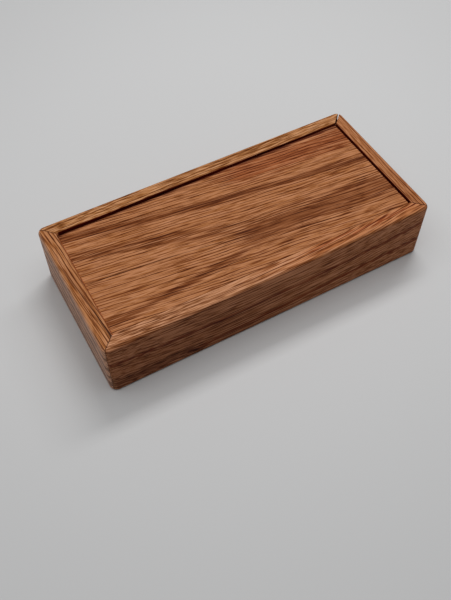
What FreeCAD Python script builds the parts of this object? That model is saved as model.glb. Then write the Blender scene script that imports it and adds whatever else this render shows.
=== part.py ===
import FreeCAD, Part
import os
from FreeCAD import Vector

# Sliding lid wooden box: four mitred hardwood rails stand round a bottom board,
# and a raised lid panel slides in grooves under their rims.
# X runs along the box, and the lid leaves through the +X end. Y runs to the rear and Z up.
# The origin is on the ground under the middle of the box. All sizes are in millimetres.

# Outside of the box
box_length = 240.0
box_width = 110.5
box_height = 47.0
rail_thickness = 10.0
corner_radius = 5.0        # upright outer corners, seen from above
edge_radius = 2.2          # eased top and bottom outer edges
rim_easing = 0.7           # eased inner edges of the rails, top and bottom

# Lid grooves and the tongue that runs in them
rim_height = 3.0           # wood left above the groove
groove_depth = 4.0
tongue_thickness = 3.0
tongue_headroom = 0.3      # air over the tongue, which lies on the groove floor
tongue_front_play = 0.3    # air at the bottom of the front groove
tongue_rear_play = 0.9     # more at the rear, where the wide board swells and shrinks
tongue_end_play = 0.3      # air at the bottom of the left groove

# Raised field of the lid, seen between the rims
field_recess = 1.0         # field surface below the rim tops
field_gap = 0.4            # between the field and the line of the front, left and right rims
field_rear_gap_left = 2.1  # the rear gap narrows from left to right
field_rear_gap_right = 0.9
field_easing = 0.6
field_corner_radius = 1.2

# End lip, which is the top strip of the right end and slides with the lid
lip_width = 9.2
lip_front_gap = 0.3        # across the front mitre
lip_rear_gap = 1.0         # across the rear mitre, which stands slightly open

# Bottom board
board_thickness = 5.0
board_lift = 4.0           # ground to the underside of the board
board_groove_depth = 4.0
board_play = 0.4           # air at the bottom of the groove, on all four sides

# Places that follow from the sizes
half_length = box_length / 2
half_width = box_width / 2
opening_half_length = half_length - rail_thickness
opening_half_width = half_width - rail_thickness
groove_top = box_height - rim_height
tongue_top = groove_top - tongue_headroom
groove_floor = tongue_top - tongue_thickness
overcut = 5.0              # how far cutting shapes run past the wood

# Rails in order round the box, from the front and against the clock
front, right, rear, left = range(4)


def block(x0, x1, y0, y1, z0, z1):
    return Part.makeBox(x1 - x0, y1 - y0, z1 - z0, Vector(x0, y0, z0))


def edges_at(shape, points):
    """Edges of a shape that pass through any of the points."""
    probes = [Part.Vertex(point) for point in points]
    return [edge for edge in shape.Edges
            if any(edge.distToShape(probe)[0] < 1e-4 for probe in probes)]


def edges_at_height(shape, z):
    return [edge for edge in shape.Edges
            if abs(edge.BoundBox.ZMin - z) < 1e-4 and abs(edge.BoundBox.ZMax - z) < 1e-4]


def upright_edges(shape):
    return [edge for edge in shape.Edges
            if edge.BoundBox.XLength < 1e-4 and edge.BoundBox.YLength < 1e-4]


def outer_form():
    """The box as one solid block, with its outer corners and edges eased."""
    form = block(-half_length, half_length, -half_width, half_width, 0, box_height)
    form = form.makeFillet(corner_radius, upright_edges(form))
    rims = edges_at_height(form, 0) + edges_at_height(form, box_height)
    return form.makeFillet(edge_radius, rims)


def prism(plan, z0, z1):
    points = [Vector(x, y, z0) for x, y in plan]
    outline = Part.makePolygon(points + points[:1])
    return Part.Face(outline).extrude(Vector(0, 0, z1 - z0))


def corners(inset):
    """Corners of the plan, moved inwards from the outside, in the order of the rails."""
    x = half_length - inset
    y = half_width - inset
    return [(-x, -y), (x, -y), (x, y), (-x, y)]


def mitred_rail(side):
    """One plain rail of the frame, mitred at both ends and eased along its inside."""
    outside = corners(-overcut)
    inside = corners(rail_thickness)
    following = (side + 1) % 4
    plan = [outside[side], outside[following], inside[following], inside[side]]
    rail = outer_form().common(prism(plan, -overcut, box_height + overcut))
    x = (inside[side][0] + inside[following][0]) / 2
    y = (inside[side][1] + inside[following][1]) / 2
    arrises = edges_at(rail, [Vector(x, y, 0), Vector(x, y, box_height)])
    return rail.makeFillet(rim_easing, arrises)


def groove_space(depth, z0, z1):
    """What the grooves of all four rails enclose between two heights."""
    x = opening_half_length + depth
    y = opening_half_width + depth
    return block(-x, x, -y, y, z0, z1)


def board_space():
    return groove_space(board_groove_depth, board_lift, board_lift + board_thickness)


def lid_space():
    return groove_space(groove_depth, groove_floor, groove_top)


def full_wall(side):
    """A wall of the full height, grooved for the bottom board and for the lid."""
    return mitred_rail(side).cut(board_space()).cut(lid_space())


def low_end_wall():
    """The right end wall, which stops level with the groove floor so that the lid can pass."""
    above = block(-box_length, box_length, -box_width, box_width,
                  groove_floor, box_height + overcut)
    return mitred_rail(right).cut(board_space()).cut(above)


def bottom_board():
    x = opening_half_length + board_groove_depth - board_play
    y = opening_half_width + board_groove_depth - board_play
    return block(-x, x, -y, y, board_lift, board_lift + board_thickness)


def lid_panel():
    """A tongue that runs in the grooves, with a raised field between the rims."""
    tongue = block(tongue_end_play - opening_half_length - groove_depth,
                   opening_half_length + groove_depth,
                   tongue_front_play - opening_half_width - groove_depth,
                   opening_half_width + groove_depth - tongue_rear_play,
                   groove_floor, tongue_top)
    field_top = box_height - field_recess
    x = opening_half_length - field_gap
    y = opening_half_width - field_gap
    plan = [(-x, -y), (x, -y),
            (x, opening_half_width - field_rear_gap_right),
            (-x, opening_half_width - field_rear_gap_left)]
    field = prism(plan, groove_floor, field_top)
    field = field.makeFillet(field_corner_radius, upright_edges(field))
    field = field.makeFillet(field_easing, edges_at_height(field, field_top))
    return tongue.fuse(field).removeSplitter()


def lid_end_lip():
    """The mitred strip that is glued over the end of the tongue and closes the frame."""
    front_shift = lip_front_gap * 2 ** 0.5
    rear_shift = lip_rear_gap * 2 ** 0.5
    outside = corners(-overcut)
    inside = corners(lip_width)
    plan = [(outside[right][0], outside[right][1] + front_shift),
            (outside[rear][0], outside[rear][1] - rear_shift),
            (inside[rear][0], inside[rear][1] - rear_shift),
            (inside[right][0], inside[right][1] + front_shift)]
    lip = outer_form().common(prism(plan, groove_floor, box_height + overcut))
    lip = lip.makeFillet(rim_easing, edges_at(lip, [Vector(plan[2][0], 0, box_height)]))
    tongue_end = block(0, opening_half_length + groove_depth, -box_width, box_width,
                       groove_floor - overcut, tongue_top)
    return lip.cut(tongue_end)


pieces = {
    "front_wall": full_wall(front),
    "rear_wall": full_wall(rear),
    "left_end_wall": full_wall(left),
    "right_end_wall": low_end_wall(),
    "bottom_board": bottom_board(),
    "lid_panel": lid_panel(),
    "lid_end_lip": lid_end_lip(),
}

os.makedirs("parts", exist_ok=True)
for name, piece in pieces.items():
    solid = piece.Solids[0]
    solid.exportStep(f"parts/{name}.step")
    print(name, "solids", len(piece.Solids), "valid", solid.isValid(),
          "volume", round(solid.Volume, 1))
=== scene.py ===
# Sliding lid box of oiled red oak, dressed on its CAD frame
import bpy
import bmesh
from math import radians
from mathutils import Euler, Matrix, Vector

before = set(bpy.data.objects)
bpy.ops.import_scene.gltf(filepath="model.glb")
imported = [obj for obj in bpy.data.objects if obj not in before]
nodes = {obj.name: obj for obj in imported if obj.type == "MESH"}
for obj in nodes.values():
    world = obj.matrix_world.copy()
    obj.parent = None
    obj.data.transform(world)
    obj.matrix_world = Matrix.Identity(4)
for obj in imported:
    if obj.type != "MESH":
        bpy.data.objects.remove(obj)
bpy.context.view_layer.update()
scene = bpy.context.scene
print("frame loaded:", len(nodes), "nodes")

mm = 0.001


# Camera

cameraView = {
    "place": (-168.8, -289.6, 419.5),   # mm
    "tiltDown": 54.32,                  # degrees below level
    "turn": 29.08,                      # degrees from +Y towards +X
    "lens": 44.88,
}


def makeCamera(view):
    data = bpy.data.cameras.new("camera")
    data.sensor_width = 36
    data.lens = view["lens"]
    camera = bpy.data.objects.new("camera", data)
    camera.location = Vector(view["place"]) * mm
    camera.rotation_euler = Euler((radians(90 - view["tiltDown"]), 0, radians(-view["turn"])))
    scene.collection.objects.link(camera)
    scene.camera = camera


makeCamera(cameraView)
scene.view_settings.view_transform = "Standard"
print("camera placed")


# Helpers for all finishes

def rgb(hexColour):
    channels = [int(hexColour[n:n + 2], 16) / 255 for n in (0, 2, 4)]
    return [c / 12.92 if c <= 0.04045 else ((c + 0.055) / 1.055) ** 2.4 for c in channels] + [1]


def addNode(tree, kind, settings=None, **inputs):
    node = tree.nodes.new("ShaderNode" + kind)
    for name, value in (settings or {}).items():
        setattr(node, name, value)
    for name, value in inputs.items():
        socket = node.inputs[int(name[1:]) if name[1:].isdigit() else name.replace("_", " ")]
        if isinstance(value, bpy.types.Node):
            value = value.outputs[0]
        if isinstance(value, bpy.types.NodeSocket):
            tree.links.new(value, socket)
        else:
            socket.default_value = value
    return node


smooth = {"interpolation_type": "SMOOTHSTEP"}
times = {"operation": "MULTIPLY"}
plus = {"operation": "ADD"}
minus = {"operation": "SUBTRACT"}
timesPlus = {"operation": "MULTIPLY_ADD"}
larger = {"operation": "MAXIMUM"}
sizeOf = {"operation": "ABSOLUTE"}


# from 0 at the first of the two edges to 1 at the second, smoothly

def eased(tree, value, edges):
    return addNode(tree, "MapRange", smooth, Value=value, From_Min=edges[0], From_Max=edges[1])


def newGroup(name, inputs, outputs):
    group = bpy.data.node_groups.new(name, "ShaderNodeTree")
    for title in inputs:
        kind = "NodeSocketVector" if title == "Place" else "NodeSocketFloat"
        group.interface.new_socket(title, in_out="INPUT", socket_type=kind)
    for title in outputs:
        group.interface.new_socket(title, in_out="OUTPUT", socket_type="NodeSocketFloat")
    return group, group.nodes.new("NodeGroupInput").outputs, group.nodes.new("NodeGroupOutput").inputs


# One streak of darker wood runs along the grain, bends slowly and frays at its sides and ends.
# All in mm: its middle lies at Start + Slope x + Bend x^2.

streakFray = {
    "fibres": (0.34, 0.66),   # between these tones of the fibres, dark to pale, it lets go
    "core": 1.3,
    "bite": 0.75,             # how far the pale fibres eat into it
}


def makeStreakGroup(fray):
    tree, given, result = newGroup(
        "streakOfGrain",
        ("Along", "Across", "Fibres", "Start", "Slope", "Bend", "Width", "From", "To", "Fade"), ("Mask",))
    bent = addNode(tree, "Math", timesPlus, _0=given["Along"], _1=given["Bend"], _2=given["Slope"])
    middle = addNode(tree, "Math", timesPlus, _0=given["Along"], _1=bent, _2=given["Start"])
    away = addNode(tree, "Math", minus, _0=given["Across"], _1=middle)
    away = addNode(tree, "Math", sizeOf, _0=away)
    body = eased(tree, away, (given["Width"], 0.0))
    leftEnd = addNode(tree, "Math", minus, _0=given["From"], _1=given["Fade"])
    rightEnd = addNode(tree, "Math", plus, _0=given["To"], _1=given["Fade"])
    rise = eased(tree, given["Along"], (leftEnd, given["From"]))
    fall = eased(tree, given["Along"], (rightEnd, given["To"]))
    ends = addNode(tree, "Math", times, _0=rise, _1=fall)
    mask = addNode(tree, "Math", times, _0=body, _1=ends)
    pale = eased(tree, given["Fibres"], fray["fibres"])
    core = addNode(tree, "Math", times, _0=mask, _1=fray["core"])
    frayed = addNode(tree, "Math", timesPlus, _0=pale, _1=-fray["bite"], _2=core)
    frayed = eased(tree, frayed, (0.0, fray["bite"]))
    tree.links.new(frayed.outputs[0], result["Mask"])
    return tree


# Where on the box a point lies, in mm: on a mitre, on a worn outer edge,
# down in the gap round the lid field, on the tongue under it, or inside the box.

boxPlan = {
    "halfLength": 120.0,
    "halfWidth": 55.25,
    "height": 47.0,
    "edgeRadius": 2.2,
    "cornerRadius": 5.0,
    "wall": 10.0,
    "grooveDepth": 4.0,
    "grooveFloor": 40.7,
    "tongue": 3.0,
    "mitreLine": (0.55, 0.12),    # from its faint edge to its dark middle
    "edgeWear": (2.35, 3.1),      # how far past the flats the wear sets in and is full
    "cornerWear": (5.4, 7.1),
    "rimShade": (0.0, 0.5),       # how far below the rim the gap sets in and is full
    "inGrooves": (0.2, 0.4),      # the edges of the other places, in the same way
    "inWalls": (0.05, 0.3),
    "onTongue": (0.05, 0.3),
    "onFloor": (0.02, 0.1),
}


# 1 as far as the limit and 0 past it, or the reverse

def upTo(tree, axis, limit, edge):
    return addNode(tree, "MapRange", None, Value=axis, To_Min=1.0, To_Max=0.0,
                   From_Min=limit + edge[0], From_Max=limit + edge[1])


def beyond(tree, axis, limit, edge):
    return addNode(tree, "MapRange", None, Value=axis, From_Min=limit + edge[0], From_Max=limit + edge[1])


def makeBoxGroup(plan):
    tree, given, result = newGroup("placesOnTheBox", ("Place", "Rim"),
                                   ("Mitre", "Wear", "Gap", "Tongue", "Inside"))
    axes = addNode(tree, "SeparateXYZ", Vector=given["Place"]).outputs
    x = addNode(tree, "Math", sizeOf, _0=axes["X"])
    y = addNode(tree, "Math", sizeOf, _0=axes["Y"])
    z = axes["Z"]
    offMitre = addNode(tree, "Math", minus, _0=x, _1=y)
    offMitre = addNode(tree, "Math", minus, _0=offMitre, _1=plan["halfLength"] - plan["halfWidth"])
    offMitre = addNode(tree, "Math", sizeOf, _0=offMitre)
    mitre = eased(tree, offMitre, plan["mitreLine"])

    # outer edges: beyond both the flat top and the flat side, so on the round between them
    pastX = addNode(tree, "Math", minus, _0=x, _1=plan["halfLength"] - plan["edgeRadius"])
    pastY = addNode(tree, "Math", minus, _0=y, _1=plan["halfWidth"] - plan["edgeRadius"])
    past = addNode(tree, "Math", larger, _0=pastX, _1=pastY)
    fromMiddle = addNode(tree, "Math", minus, _0=z, _1=plan["height"] / 2)
    fromMiddle = addNode(tree, "Math", sizeOf, _0=fromMiddle)
    pastZ = addNode(tree, "Math", minus, _0=fromMiddle, _1=plan["height"] / 2 - plan["edgeRadius"])
    edge = addNode(tree, "Math", plus, _0=past, _1=pastZ)
    edge = eased(tree, edge, plan["edgeWear"])
    corner = addNode(tree, "Math", plus, _0=x, _1=y)
    square = plan["halfLength"] + plan["halfWidth"] - 2 * plan["cornerRadius"]
    corner = eased(tree, corner, [square + far for far in plan["cornerWear"]])
    wear = addNode(tree, "Math", larger, _0=edge, _1=corner)

    # the space that the grooves enclose
    innerX = plan["halfLength"] - plan["wall"]
    innerY = plan["halfWidth"] - plan["wall"]
    nearX = upTo(tree, x, innerX + plan["grooveDepth"], plan["inGrooves"])
    nearY = upTo(tree, y, innerY + plan["grooveDepth"], plan["inGrooves"])
    within = addNode(tree, "Math", times, _0=nearX, _1=nearY)
    below = addNode(tree, "Math", minus, _0=given["Rim"], _1=z)
    below = eased(tree, below, plan["rimShade"])
    aboveTongue = beyond(tree, z, plan["grooveFloor"] + plan["tongue"], plan["onTongue"])
    aboveFloor = beyond(tree, z, plan["grooveFloor"], plan["onFloor"])
    gap = addNode(tree, "Math", times, _0=within, _1=below)
    tongue = addNode(tree, "Math", times, _0=gap, _1=aboveFloor)
    gap = addNode(tree, "Math", times, _0=gap, _1=aboveTongue)

    insideX = upTo(tree, x, innerX, plan["inWalls"])
    insideY = upTo(tree, y, innerY, plan["inWalls"])
    low = upTo(tree, z, plan["grooveFloor"], plan["onFloor"])
    inside = addNode(tree, "Math", times, _0=insideX, _1=insideY)
    inside = addNode(tree, "Math", times, _0=inside, _1=low)

    places = {"Mitre": mitre, "Wear": wear, "Gap": gap, "Tongue": tongue, "Inside": inside}
    for name, node in places.items():
        tree.links.new(node.outputs[0], result[name])
    return tree


streakGroup = makeStreakGroup(streakFray)
boxGroup = makeBoxGroup(boxPlan)


# Red oak, sawn, planed and sanded, then rubbed with oil: open pores that lie as short dark
# dashes along the grain, yearly rings as soft bands, a warm brown tone and a satin surface.
# The grain is drawn coarser than it grows, because finer grain would not show at this size.

# noises: length along the grain and width across it in mm, detail, shift from the board's seed

oakNoises = {
    "sway": (60, 22, 1.0, 3.1),
    "years": (90, 9, 1.0, 7.7),
    "stripes": (130, 5.0, 3.0, 0.0),
    "fineStripes": (40, 0.62, 0.0, 1.3),
    "flecks": (8, 0.5, 0.0, 6.6),
    "cloud": (60, 30, 1.0, 5.9),
    "lineSway": (45, 7, 1.0, 11.2),
    "lineRuns": (42, 1.6, 0.0, 4.4),
    "pores": (5.0, 0.42, 1.0, 2.2),
}

oakVessels = {
    "length": 16.8,
    "width": 0.7,
    "shift": 8.4,
    "edge": (0.36, 0.162),        # shares of its cell at which a vessel sets in and is full
}

# where each mark sets in and where it is full

oakEdges = {
    "earlyWood": (0.55, 0.0),     # of a year
    "lateWood": (0.86, 1.0),
    "belowRim": (46.9, 46.1),     # height in mm
    "growthLine": (0.19, 0.06),   # of the pitch, from its middle
    "lineRuns": (0.36, 0.52),     # of its noise
    "pores": (0.55, 0.72),
    "rubbed": (0.35, 0.6),
    "endGrain": (0.6, 0.98),      # of the normal along the grain
    "upright": (0.6, 0.2),        # of the normal's height
    "seam": (0.4, 0.1),           # mm off the seam
    "deepRear": (38.0, 42.0),     # mm from the middle of the box
    "deepRight": (105.0, 108.0),
    "closedLeft": (-108.0, -109.0),
}

oakLines = {
    "pitch": 2.2,                 # mm between growth lines, each 0.5 to 0.9 mm wide
    "heightShare": 0.8,           # height counts too, so upright faces show them as well
    "dashes": 0.6,                # depth of the dashes beside that of the lines
    "poresInRing": 0.6,           # pores are deeper in the rings than between them
    "poresBetween": 0.4,
}

oakAmounts = {
    "endGrain": 0.8,
    "inside": 0.4,
    "sandedOff": 0.55,
}

# roughness that each part of the grain adds, and how deep it lies in the bump

oakSurface = {
    "stripes": 0.12,
    "lines": 0.15,
    "pores": 0.2,
    "rubbed": -0.06,
    "inside": 0.15,
    "lineRelief": -0.6,
    "poreRelief": -0.8,
    "relief": 0.08,               # mm
}

oakStains = {
    "lines": "90683A",
    "pores": "8A6642",
    "endGrain": "B0917F",
    "inside": "B78A5E",
    "rubbed": "C79A6C",
    "glue": "4A3024",
    # painted shade on the tongue, down in the groove under the gap
    "tongue": "A08878",
    # painted shade, tinted red, in the gap, and painted light over the closed gap at the left
    "gap": "F06A38",
    "paintedGapLight": "E8A068",
}


def drawnOut(tree, place, length, width, shift):
    return addNode(tree, "Mapping", Vector=place, Location=(shift, shift * 0.7, shift * 0.4),
                   Scale=(1 / length, 1 / width, 1 / width))


def fibreNoise(tree, place, name, seed):
    length, width, detail, shift = oakNoises[name]
    vector = drawnOut(tree, place, length, width, seed + shift)
    return addNode(tree, "TexNoise", Vector=vector, Scale=1.0, Detail=detail, Roughness=0.55)


# long thin cells, one round each vessel of the wood, which is darkest on its middle

def vesselCells(tree, place, seed):
    vector = drawnOut(tree, place, oakVessels["length"], oakVessels["width"], seed + oakVessels["shift"])
    cells = addNode(tree, "TexVoronoi", Vector=vector, Scale=1.0)
    return eased(tree, cells.outputs["Distance"], oakVessels["edge"])


# as a thin stain that darkens the wood, or mixed over it as a cover

def stained(tree, colour, amount, hexColour, blend="MULTIPLY"):
    return addNode(tree, "MixRGB", {"blend_type": blend}, Fac=amount, Color1=colour,
                   Color2=rgb(hexColour))


def woodSpace(tree, look):
    seed = look["seed"]
    texture = tree.nodes.new("ShaderNodeTexCoord")
    place = addNode(tree, "VectorMath", {"operation": "SCALE"}, _0=texture.outputs["Object"], Scale=1000.0)
    axes = addNode(tree, "SeparateXYZ", Vector=place).outputs
    normal = addNode(tree, "SeparateXYZ", Vector=texture.outputs["Normal"]).outputs
    along, across = (axes["X"], axes["Y"]) if look["grain"] == "X" else (axes["Y"], axes["X"])
    board = addNode(tree, "CombineXYZ", X=along, Y=across, Z=axes["Z"])

    # fibres drift across the board and wander a little
    sway = fibreNoise(tree, board, "sway", seed)
    sway = addNode(tree, "Math", timesPlus, _0=sway, _1=look["wander"], _2=-look["wander"] / 2)
    flat = {}
    for name, axis in (("across", across), ("up", axes["Z"])):
        slope, bend = look[name + "Drift"]
        drift = addNode(tree, "Math", timesPlus, _0=along, _1=bend, _2=slope)
        drift = addNode(tree, "Math", timesPlus, _0=drift, _1=along, _2=sway)
        flat[name] = addNode(tree, "Math", minus, _0=axis, _1=drift)
    swayed = {"across": addNode(tree, "Math", plus, _0=across, _1=sway),
              "up": addNode(tree, "Math", plus, _0=axes["Z"], _1=sway)}
    fibres = addNode(tree, "CombineXYZ", X=along, Y=flat["across"], Z=flat["up"])
    return {"place": place, "axes": axes, "normal": normal, "along": along, "board": board,
            "flat": flat, "swayed": swayed, "fibres": fibres}


# yearly rings round the heart of the tree, which lies outside the board

def yearlyRings(tree, look, wood):
    heartAcross, heartUp, heartTilt = look["heart"]
    ringAcross = addNode(tree, "Math", minus, _0=wood["swayed"]["across"], _1=heartAcross)
    ringUp = addNode(tree, "Math", timesPlus, _0=wood["along"], _1=-heartTilt, _2=wood["swayed"]["up"])
    ringUp = addNode(tree, "Math", minus, _0=ringUp, _1=heartUp)
    radius = addNode(tree, "CombineXYZ", Y=ringAcross, Z=ringUp)
    radius = addNode(tree, "VectorMath", {"operation": "LENGTH"}, _0=radius).outputs["Value"]
    uneven = fibreNoise(tree, wood["fibres"], "years", look["seed"])
    years = addNode(tree, "Math", timesPlus, _0=radius, _1=1 / look["ringWidth"], _2=uneven)
    year = addNode(tree, "Math", {"operation": "FRACT"}, _0=years)
    early = eased(tree, year, oakEdges["earlyWood"])
    late = eased(tree, year, oakEdges["lateWood"])
    return addNode(tree, "Math", larger, _0=early, _1=late)


# tone of the wood between its darkest and lightest

def woodTones(tree, look, wood, noises, ring):
    tone = addNode(tree, "Math", timesPlus, _0=noises["stripes"], _1=look["stripes"],
                   _2=0.5 - look["stripes"] / 2)
    for name, amount in (("fineStripes", "fine"), ("flecks", "flecks"), ("cloud", "cloud")):
        tone = addNode(tree, "Math", timesPlus, _0=noises[name], _1=look[amount], _2=tone)
    tone = addNode(tree, "Math", timesPlus, _0=ring, _1=-look["rings"], _2=tone)

    # keeps the average tone near the middle of the ramp
    middle = (look["rings"] * 0.8 - look["fine"] - look["flecks"] - look["cloud"]) / 2
    tone = addNode(tree, "Math", plus, _0=tone, _1=middle)
    ramp = addNode(tree, "ValToRGB", Fac=tone)
    stops = ramp.color_ramp.elements
    stops[0].position, stops[0].color = look["tones"][0][0], rgb(look["tones"][0][1])
    stops[1].position, stops[1].color = look["tones"][-1][0], rgb(look["tones"][-1][1])
    for position, hexColour in look["tones"][1:-1]:
        stop = stops.new(position)
        stop.color = rgb(hexColour)

    # the faces below the rim are tinted: a painted shade leaves them darker than the top on most boards,
    # and on the left end a painted pale reflection of grazing light lightens them
    blend, hexColour, amount = look["face"]
    belowRim = eased(tree, wood["axes"]["Z"], oakEdges["belowRim"])
    belowRim = addNode(tree, "Math", times, _0=belowRim, _1=amount)
    return stained(tree, ramp, belowRim, hexColour, blend)


# a streak whose side is up lies on an upright face, and its start is a height

def darkStreaks(tree, look, wood, fineStripes, colour):
    for streak in look["streaks"]:
        leftEnd, rightEnd = streak["span"]
        mask = addNode(tree, "Group", {"node_tree": streakGroup}, Along=wood["along"],
                       Across=wood["swayed"][streak.get("side", "across")], Fibres=fineStripes,
                       Start=streak["start"], Slope=streak["slope"], Bend=streak.get("bend", 0.0),
                       Width=streak["width"], From=leftEnd, To=rightEnd, Fade=streak.get("fade", 10.0))
        mask = addNode(tree, "Math", times, _0=mask, _1=streak["depth"])
        colour = stained(tree, colour, mask, streak.get("tint", look["streakTint"]))
    return colour


# vessels show as thin dark lines, and finer ones as dashes between them

def linesAndPores(tree, look, wood, ring):
    seed, flat, fibres = look["seed"], wood["flat"], wood["fibres"]
    layers = addNode(tree, "Math", timesPlus, _0=flat["up"], _1=oakLines["heightShare"],
                     _2=flat["across"])
    lineSway = fibreNoise(tree, fibres, "lineSway", seed)
    layers = addNode(tree, "Math", timesPlus, _0=layers, _1=1 / oakLines["pitch"], _2=lineSway)
    layers = addNode(tree, "Math", {"operation": "FRACT"}, _0=layers)
    layers = addNode(tree, "Math", minus, _0=layers, _1=0.5)
    layers = addNode(tree, "Math", sizeOf, _0=layers)
    long = eased(tree, layers, oakEdges["growthLine"])
    runs = eased(tree, fibreNoise(tree, fibres, "lineRuns", seed), oakEdges["lineRuns"])
    long = addNode(tree, "Math", times, _0=long, _1=runs)
    dashes = vesselCells(tree, fibres, seed)
    lines = addNode(tree, "Math", timesPlus, _0=dashes, _1=oakLines["dashes"], _2=long)
    lines = addNode(tree, "Math", {"operation": "MINIMUM"}, _0=lines, _1=1.0)
    pores = eased(tree, fibreNoise(tree, fibres, "pores", seed), oakEdges["pores"])
    inRing = addNode(tree, "Math", timesPlus, _0=ring, _1=oakLines["poresInRing"],
                     _2=oakLines["poresBetween"])
    return lines, addNode(tree, "Math", times, _0=pores, _1=inRing)


# glue in the mitres, less on the upright corners, which were sanded clean, and in the seam
# between the lip and the right end wall, which lies at the floor of the lid's groove

def glueLines(tree, look, wood, mitre):
    level = addNode(tree, "Math", sizeOf, _0=wood["normal"]["Z"])
    upright = eased(tree, level, oakEdges["upright"])
    sanded = addNode(tree, "Math", timesPlus, _0=upright, _1=-oakAmounts["sandedOff"], _2=1.0)
    glue = addNode(tree, "Math", times, _0=mitre, _1=look["mitre"])
    glue = addNode(tree, "Math", times, _0=glue, _1=sanded)
    seam = addNode(tree, "Math", minus, _0=wood["axes"]["Z"], _1=boxPlan["grooveFloor"])
    seam = addNode(tree, "Math", sizeOf, _0=seam)
    seam = eased(tree, seam, oakEdges["seam"])
    seam = addNode(tree, "Math", times, _0=seam, _1=upright)
    seam = addNode(tree, "Math", times, _0=seam, _1=look["seam"])
    return addNode(tree, "Math", larger, _0=glue, _1=seam)


# The gap round the lid field. In the deep gaps at the rear and right, painted shade tinted red, as if light
# came back red from wood to wood. Over the closed joint at the left, painted light leaves only a thin light
# brown line.

def gapTints(tree, wood, gap, colour):
    toRear = eased(tree, wood["axes"]["Y"], oakEdges["deepRear"])
    toRight = eased(tree, wood["axes"]["X"], oakEdges["deepRight"])
    deep = addNode(tree, "Math", larger, _0=toRear, _1=toRight)
    deep = addNode(tree, "Math", times, _0=deep, _1=gap)
    colour = stained(tree, colour, deep, oakStains["gap"])
    toLeft = eased(tree, wood["axes"]["X"], oakEdges["closedLeft"])
    paintedGapLight = addNode(tree, "Math", times, _0=toLeft, _1=gap)
    return stained(tree, colour, paintedGapLight, oakStains["paintedGapLight"], "MIX")


def oiledOak(look):
    material = bpy.data.materials.new(look["name"])
    material.use_nodes = True
    tree = material.node_tree
    tree.nodes.clear()
    wood = woodSpace(tree, look)
    noises = {name: fibreNoise(tree, wood["fibres"], name, look["seed"])
              for name in ("stripes", "fineStripes", "flecks")}
    noises["cloud"] = fibreNoise(tree, wood["board"], "cloud", look["seed"])
    ring = yearlyRings(tree, look, wood)
    colour = woodTones(tree, look, wood, noises, ring)
    colour = darkStreaks(tree, look, wood, noises["fineStripes"], colour)

    lines, pores = linesAndPores(tree, look, wood, ring)
    lineDepth = addNode(tree, "Math", times, _0=lines, _1=look["lineDepth"])
    colour = stained(tree, colour, lineDepth, oakStains["lines"])
    poreDepth = addNode(tree, "Math", times, _0=pores, _1=look["poreDepth"])
    colour = stained(tree, colour, poreDepth, oakStains["pores"])

    # end grain drinks more oil and is darker
    facing = addNode(tree, "Math", sizeOf, _0=wood["normal"][look["grain"]])
    endGrain = eased(tree, facing, oakEdges["endGrain"])
    endGrain = addNode(tree, "Math", times, _0=endGrain, _1=oakAmounts["endGrain"])
    colour = stained(tree, colour, endGrain, oakStains["endGrain"])

    # the box itself: the plainer inside, rubbed edges, glue lines, painted shade on the tongue, and painted
    # shade and light in the gap
    spots = addNode(tree, "Group", {"node_tree": boxGroup}, Place=wood["place"],
                    Rim=look["gapTop"]).outputs
    inside = addNode(tree, "Math", times, _0=spots["Inside"], _1=oakAmounts["inside"])
    colour = stained(tree, colour, inside, oakStains["inside"], "MIX")
    rubbed = eased(tree, noises["cloud"], oakEdges["rubbed"])
    rubbed = addNode(tree, "Math", times, _0=rubbed, _1=spots["Wear"])
    lighter = addNode(tree, "Math", times, _0=rubbed, _1=look["wear"])
    colour = stained(tree, colour, lighter, oakStains["rubbed"], "MIX")
    glue = glueLines(tree, look, wood, spots["Mitre"])
    colour = stained(tree, colour, glue, oakStains["glue"])
    # painted shade on the tongue, down in the groove under the gap
    colour = stained(tree, colour, spots["Tongue"], oakStains["tongue"])
    colour = gapTints(tree, wood, spots["Gap"], colour)

    # oil leaves it satin, the open pores stay dull, and rubbed edges shine a little more
    rough = look["roughness"] - oakSurface["stripes"] / 2
    parts = {"stripes": noises["stripes"], "lines": lines, "pores": pores, "rubbed": rubbed,
             "inside": spots["Inside"]}
    for name, mask in parts.items():
        rough = addNode(tree, "Math", timesPlus, _0=mask, _1=oakSurface[name], _2=rough)
    height = addNode(tree, "Math", timesPlus, _0=lines, _1=oakSurface["lineRelief"],
                     _2=noises["fineStripes"])
    height = addNode(tree, "Math", timesPlus, _0=pores, _1=oakSurface["poreRelief"], _2=height)
    bump = addNode(tree, "Bump", Strength=0.5, Distance=oakSurface["relief"] * mm, Height=height)

    # the sheen stands for raised fibres that catch grazing light
    shader = addNode(tree, "BsdfPrincipled", Base_Color=colour, Roughness=rough, IOR=1.5, Normal=bump,
                     Specular_IOR_Level=0.1, Sheen_Weight=look["sheen"], Sheen_Roughness=0.5)
    addNode(tree, "OutputMaterial", Surface=shader)
    return material


def dress(name, material):
    node = nodes[name]
    node.data.materials.clear()
    node.data.materials.append(material)


# Lid panel: flat-sawn board with a long V of dark bands that opens to the left

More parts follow.
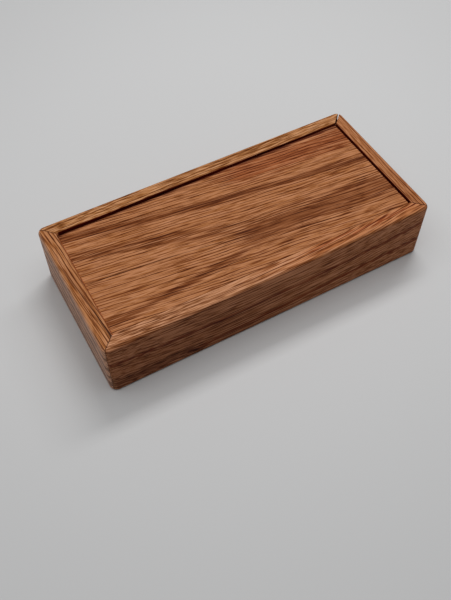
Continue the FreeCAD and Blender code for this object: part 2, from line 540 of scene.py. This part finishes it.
lidPanel = {
    "name": "oiledRedOakFlatSawnLid",
    "grain": "X",
    "seed": 2.0,
    "wander": 2.4,
    "acrossDrift": (-0.105, 0.0001),
    "upDrift": (0.0, 0.0),
    "heart": (-17.0, 21.0, -0.15),
    "ringWidth": 5.0,
    "tones": ((0.1, "74380F"), (0.35, "A26333"), (0.5, "B4774B"), (0.65, "BC7E55"), (0.9, "C1865E")),
    "stripes": 0.14,
    "fine": 1.0,
    "flecks": 0.85,
    "cloud": 0.15,
    "rings": 0.1,
    "lineDepth": 1.0,
    "poreDepth": 0.6,
    "roughness": 0.64,
    "sheen": 0.0,
    "face": ("MULTIPLY", "FFFFFF", 1.0),    # white leaves it as it is
    "wear": 0.0,
    "mitre": 0.0,
    "seam": 0.0,
    "gapTop": 45.9,
    "streakTint": "B69A74",
    "streaks": (
        # the arm of the V along the rear, with thinner streaks beside it
        {"start": 19.5, "slope": -0.148, "bend": 0.00025, "width": 6.4, "span": (-112, 112), "depth": 0.95},
        {"start": 18.3, "slope": -0.15, "width": 2.6, "span": (-84, -60), "depth": 0.5},
        {"start": 20, "slope": -0.16, "width": 2.8, "span": (-26, 12), "depth": 0.5},
        {"start": 18.8, "slope": -0.11, "width": 2.4, "span": (55, 105), "depth": 0.5},
        # the middle arm in two bands, then the darker wood to the right of it
        {"start": -11.8, "slope": -0.3235, "bend": -0.00032, "width": 5.0, "span": (-112, -12),
         "fade": 28, "depth": 0.85},
        {"start": -5.6, "slope": -0.3, "bend": -0.00032, "width": 4.6, "span": (-96, -16),
         "fade": 28, "depth": 0.8},
        {"start": -16.2, "slope": -0.05, "width": 22.0, "span": (10, 115), "fade": 35, "depth": 0.85},
        # painted shade at the right end of the field and along its rear edge, beside the gaps, and a core
        # in that darker wood
        {"start": 0.0, "slope": 0.0, "width": 200.0, "span": (110, 115), "fade": 2.5, "depth": 0.5,
         "tint": "C89060"},
        {"start": 43.4, "slope": 0.004, "width": 2.6, "span": (-112, 112), "depth": 0.9, "tint": "8A5A38"},
        {"start": -16.2, "slope": -0.04, "width": 7.0, "span": (0, 60), "fade": 15, "depth": 0.25},
        # the arm along the front
        {"start": -26.2, "slope": 0.153, "bend": 0.00046, "width": 5.6, "span": (-112, -18),
         "fade": 22, "depth": 0.95},
        # a thin streak and the redder wood at the rear right, and a thin line between the arms
        {"start": 39.1, "slope": -0.085, "width": 1.6, "span": (-30, 112), "depth": 0.5},
        {"start": 36.0, "slope": -0.03, "width": 20.0, "span": (30, 115), "fade": 40, "depth": 0.9,
         "tint": "D8B294"},
        {"start": -17.1, "slope": -0.208, "bend": -0.00072, "width": 0.8, "span": (-105, -20),
         "depth": 0.8, "tint": "8A7058"},
    ),
}

dress("lid_panel", oiledOak(lidPanel))


# Front wall: its top shows as the front rim, and painted shade makes its face the darkest of the box

frontWall = dict(
    lidPanel,
    name="oiledRedOakFrontWall",
    seed=9.0,
    wander=2.0,
    acrossDrift=(0.01, 0.0005),
    upDrift=(-0.01, 0.0003),
    heart=(-90.0, 30.0, 0.03),
    ringWidth=4.0,
    tones=((0.1, "76421C"), (0.35, "AA6E42"), (0.5, "C0865E"), (0.65, "C88E67"), (0.9, "CF9672")),
    fine=1.3,
    flecks=0.8,
    lineDepth=0.9,
    poreDepth=0.5,
    rings=0.15,
    # painted shade: the front face darker than the rim top
    face=("MULTIPLY", "EADCD2", 1.0),
    wear=0.08,
    mitre=0.9,
    gapTop=46.9,
    streakTint="C88C58",
    streaks=(
        # painted shade: a dark line along the top of the face, under the rounded edge, strong at the left
        # and faint at the right
        {"side": "up", "start": 45.4, "slope": 0.0, "width": 1.6, "span": (-125, -30), "fade": 90,
         "depth": 0.6, "tint": "B09888"},
        {"side": "up", "start": 47.5, "slope": 0.0, "width": 2.5, "span": (50, 125), "fade": 110,
         "depth": 1.0, "tint": "F2DCC0"},
        {"start": -54.0, "slope": 0.07, "width": 1.2, "span": (62, 96), "fade": 8, "depth": 0.8},
        {"start": -55.6, "slope": 0.07, "width": 1.2, "span": (78, 112), "fade": 8, "depth": 0.8},
        {"start": -50.8, "slope": 0.05, "width": 1.0, "span": (30, 60), "fade": 8, "depth": 0.7},
        {"side": "up", "start": 26.0, "slope": 0.008, "bend": 0.00042, "width": 3.4, "span": (-118, 118),
         "depth": 1.0, "tint": "B88444"},
        {"side": "up", "start": 9.8, "slope": 0.055, "width": 3.8, "span": (-60, 118), "fade": 20,
         "depth": 1.0, "tint": "B88444"},
        # painted shade over the left part of the face, and a darker patch at its lower left corner
        {"side": "up", "start": 8.0, "slope": 0.0, "width": 12.0, "span": (-120, -70), "fade": 30,
         "depth": 0.7, "tint": "A89080"},
        {"side": "up", "start": 20.0, "slope": 0.0, "width": 60.0, "span": (-130, -60), "fade": 120,
         "depth": 0.42, "tint": "A89080"},
    ),
)

dress("front_wall", oiledOak(frontWall))


# Rear wall: golden rim with thin lengthwise lines

rearWall = dict(
    frontWall,
    name="oiledRedOakRearWall",
    # painted shade: the face a little darker than the rim top
    face=("MULTIPLY", "F6DED2", 1.0),
    tones=((0.1, "744014"), (0.35, "A06430"), (0.5, "B67C4C"), (0.65, "C08658"), (0.9, "CC966A")),
    fine=1.4,
    flecks=1.6,
    seed=17.0,
    acrossDrift=(0.0, 0.00008),
    upDrift=(0.02, -0.0002),
    heart=(85.0, 10.0, 0.05),
    streaks=(),
)

dress("rear_wall", oiledOak(rearWall))


# Left end wall: dark lines run together towards the front corner

leftEndWall = dict(
    frontWall,
    name="oiledRedOakLeftEnd",
    # painted reflection: the left face mixed paler, as grazing light off the floor would leave it
    face=("MIX", "E6B292", 0.43),
    tones=((0.1, "6E3610"), (0.35, "9E602E"), (0.5, "B27446"), (0.65, "BA7E50"), (0.9, "C4885E")),
    grain="Y",
    seed=23.0,
    acrossDrift=(-0.08, 0.0),
    upDrift=(0.0, 0.0003),
    heart=(-140.0, 15.0, 0.1),
    sheen=0.14,
    streakTint="A08C74",
    streaks=(
        {"start": -115.9, "slope": -0.109, "width": 0.9, "span": (-44, 15), "depth": 0.65,
         "tint": "8A7058"},
        {"start": -114.6, "slope": -0.07, "width": 0.9, "span": (-44, 30), "depth": 0.6,
         "tint": "8A7058"},
        {"side": "up", "start": 37.5, "slope": 0.01, "width": 4.0, "span": (-60, 60), "depth": 1.0},
        {"side": "up", "start": 26.5, "slope": 0.02, "width": 3.6, "span": (-60, 60), "depth": 1.0},
        {"side": "up", "start": 17.5, "slope": 0.02, "width": 3.2, "span": (-60, 60), "depth": 1.0},
        {"side": "up", "start": 8.0, "slope": 0.02, "width": 6.0, "span": (-60, 60), "depth": 1.0},
    ),
)

dress("left_end_wall", oiledOak(leftEndWall))


# Right end wall, low, under the sliding lip

rightEndWall = dict(
    leftEndWall,
    name="oiledRedOakRightEnd",
    seam=0.9,
    sheen=0.0,
    # painted shade: the face a little darker than the top
    face=("MULTIPLY", "F0ECE8", 1.0),
    seed=31.0,
    acrossDrift=(0.02, 0.0),
    heart=(150.0, -10.0, 0.05),
    streaks=(),
)

dress("right_end_wall", oiledOak(rightEndWall))


# End lip, a light strip that slides with the lid

endLip = dict(
    leftEndWall,
    name="oiledRedOakLip",
    seam=0.9,
    sheen=0.0,
    # painted shade: the face a little darker than the top
    face=("MULTIPLY", "F0ECE8", 1.0),
    seed=37.0,
    acrossDrift=(0.01, 0.0),
    heart=(150.0, 60.0, 0.02),
    tones=((0.1, "8A4E20"), (0.5, "AA6C42"), (0.9, "BE8258")),
    fine=1.5,
    flecks=1.5,
    streaks=(),
)

dress("lid_end_lip", oiledOak(endLip))


# Bottom board

bottomBoard = dict(
    lidPanel,
    name="oiledRedOakBottomBoard",
    seed=43.0,
    heart=(12.0, -30.0, 0.08),
    streaks=(),
)

dress("bottom_board", oiledOak(bottomBoard))
print("wood dressed:", len(bpy.data.materials), "materials")


# Floor: matt pale paper, with painted shade that makes it a little darker away from the box, as if it left
# the light

floorPaper = {
    "size": 6.0,                        # m
    "middle": "CDCDCD",
    "rim": "C5C5C5",
    "brightSpot": (0.03, 0.06, 0.0),
    "fade": (0.14, 0.38),               # m from the bright spot
    "roughness": 0.8,
}


def makePaper(look):
    material = bpy.data.materials.new("mattPaperWithPaintedFalloff")
    material.use_nodes = True
    tree = material.node_tree
    tree.nodes.clear()
    texture = tree.nodes.new("ShaderNodeTexCoord")
    away = addNode(tree, "VectorMath", {"operation": "DISTANCE"}, _0=texture.outputs["Object"],
                   _1=look["brightSpot"]).outputs["Value"]
    tone = eased(tree, away, look["fade"])
    colour = stained(tree, rgb(look["middle"]), tone, look["rim"], "MIX")
    shader = addNode(tree, "BsdfPrincipled", Base_Color=colour, Roughness=look["roughness"], IOR=1.45)
    addNode(tree, "OutputMaterial", Surface=shader)
    return material


floorMesh = bmesh.new()
bmesh.ops.create_grid(floorMesh, x_segments=1, y_segments=1, size=floorPaper["size"] / 2)
floorData = bpy.data.meshes.new("floor")
floorMesh.to_mesh(floorData)
floorMesh.free()
floor = bpy.data.objects.new("floor", floorData)
scene.collection.objects.link(floor)
floorData.materials.append(makePaper(floorPaper))


# Light: a long narrow key that hangs level, high towards the rear right, and a broad fill
# overhead. The short side of the key gives the shadow in front of the box its firm edge.
# Places and sizes are in m, powers in W.

studioLight = {
    "key": {"place": (0.74, 0.585, 1.3), "aim": (0.74, 0.585, 0), "size": (1.3, 0.33), "power": 11.2},
    "fill": {"place": (-0.2, -0.02, 1.35), "aim": (-0.2, -0.02, 0), "size": (1.8, 1.25), "power": 12.6},
    "skyColour": (0.95, 0.97, 1.0, 1),
    "skyStrength": 0.12,
}


def makeLight(name, look):
    data = bpy.data.lights.new(name, "AREA")
    data.shape = "RECTANGLE"
    data.size, data.size_y = look["size"]
    data.energy = look["power"]
    light = bpy.data.objects.new(name, data)
    light.location = look["place"]
    towards = Vector(look["aim"]) - Vector(look["place"])
    light.rotation_euler = towards.to_track_quat("-Z", "Y").to_euler()
    scene.collection.objects.link(light)


makeLight("key", studioLight["key"])
makeLight("fill", studioLight["fill"])
world = bpy.data.worlds.new("world")
world.use_nodes = True
sky = world.node_tree.nodes["Background"].inputs
sky["Color"].default_value = studioLight["skyColour"]
sky["Strength"].default_value = studioLight["skyStrength"]
scene.world = world
print("stage and lights placed")
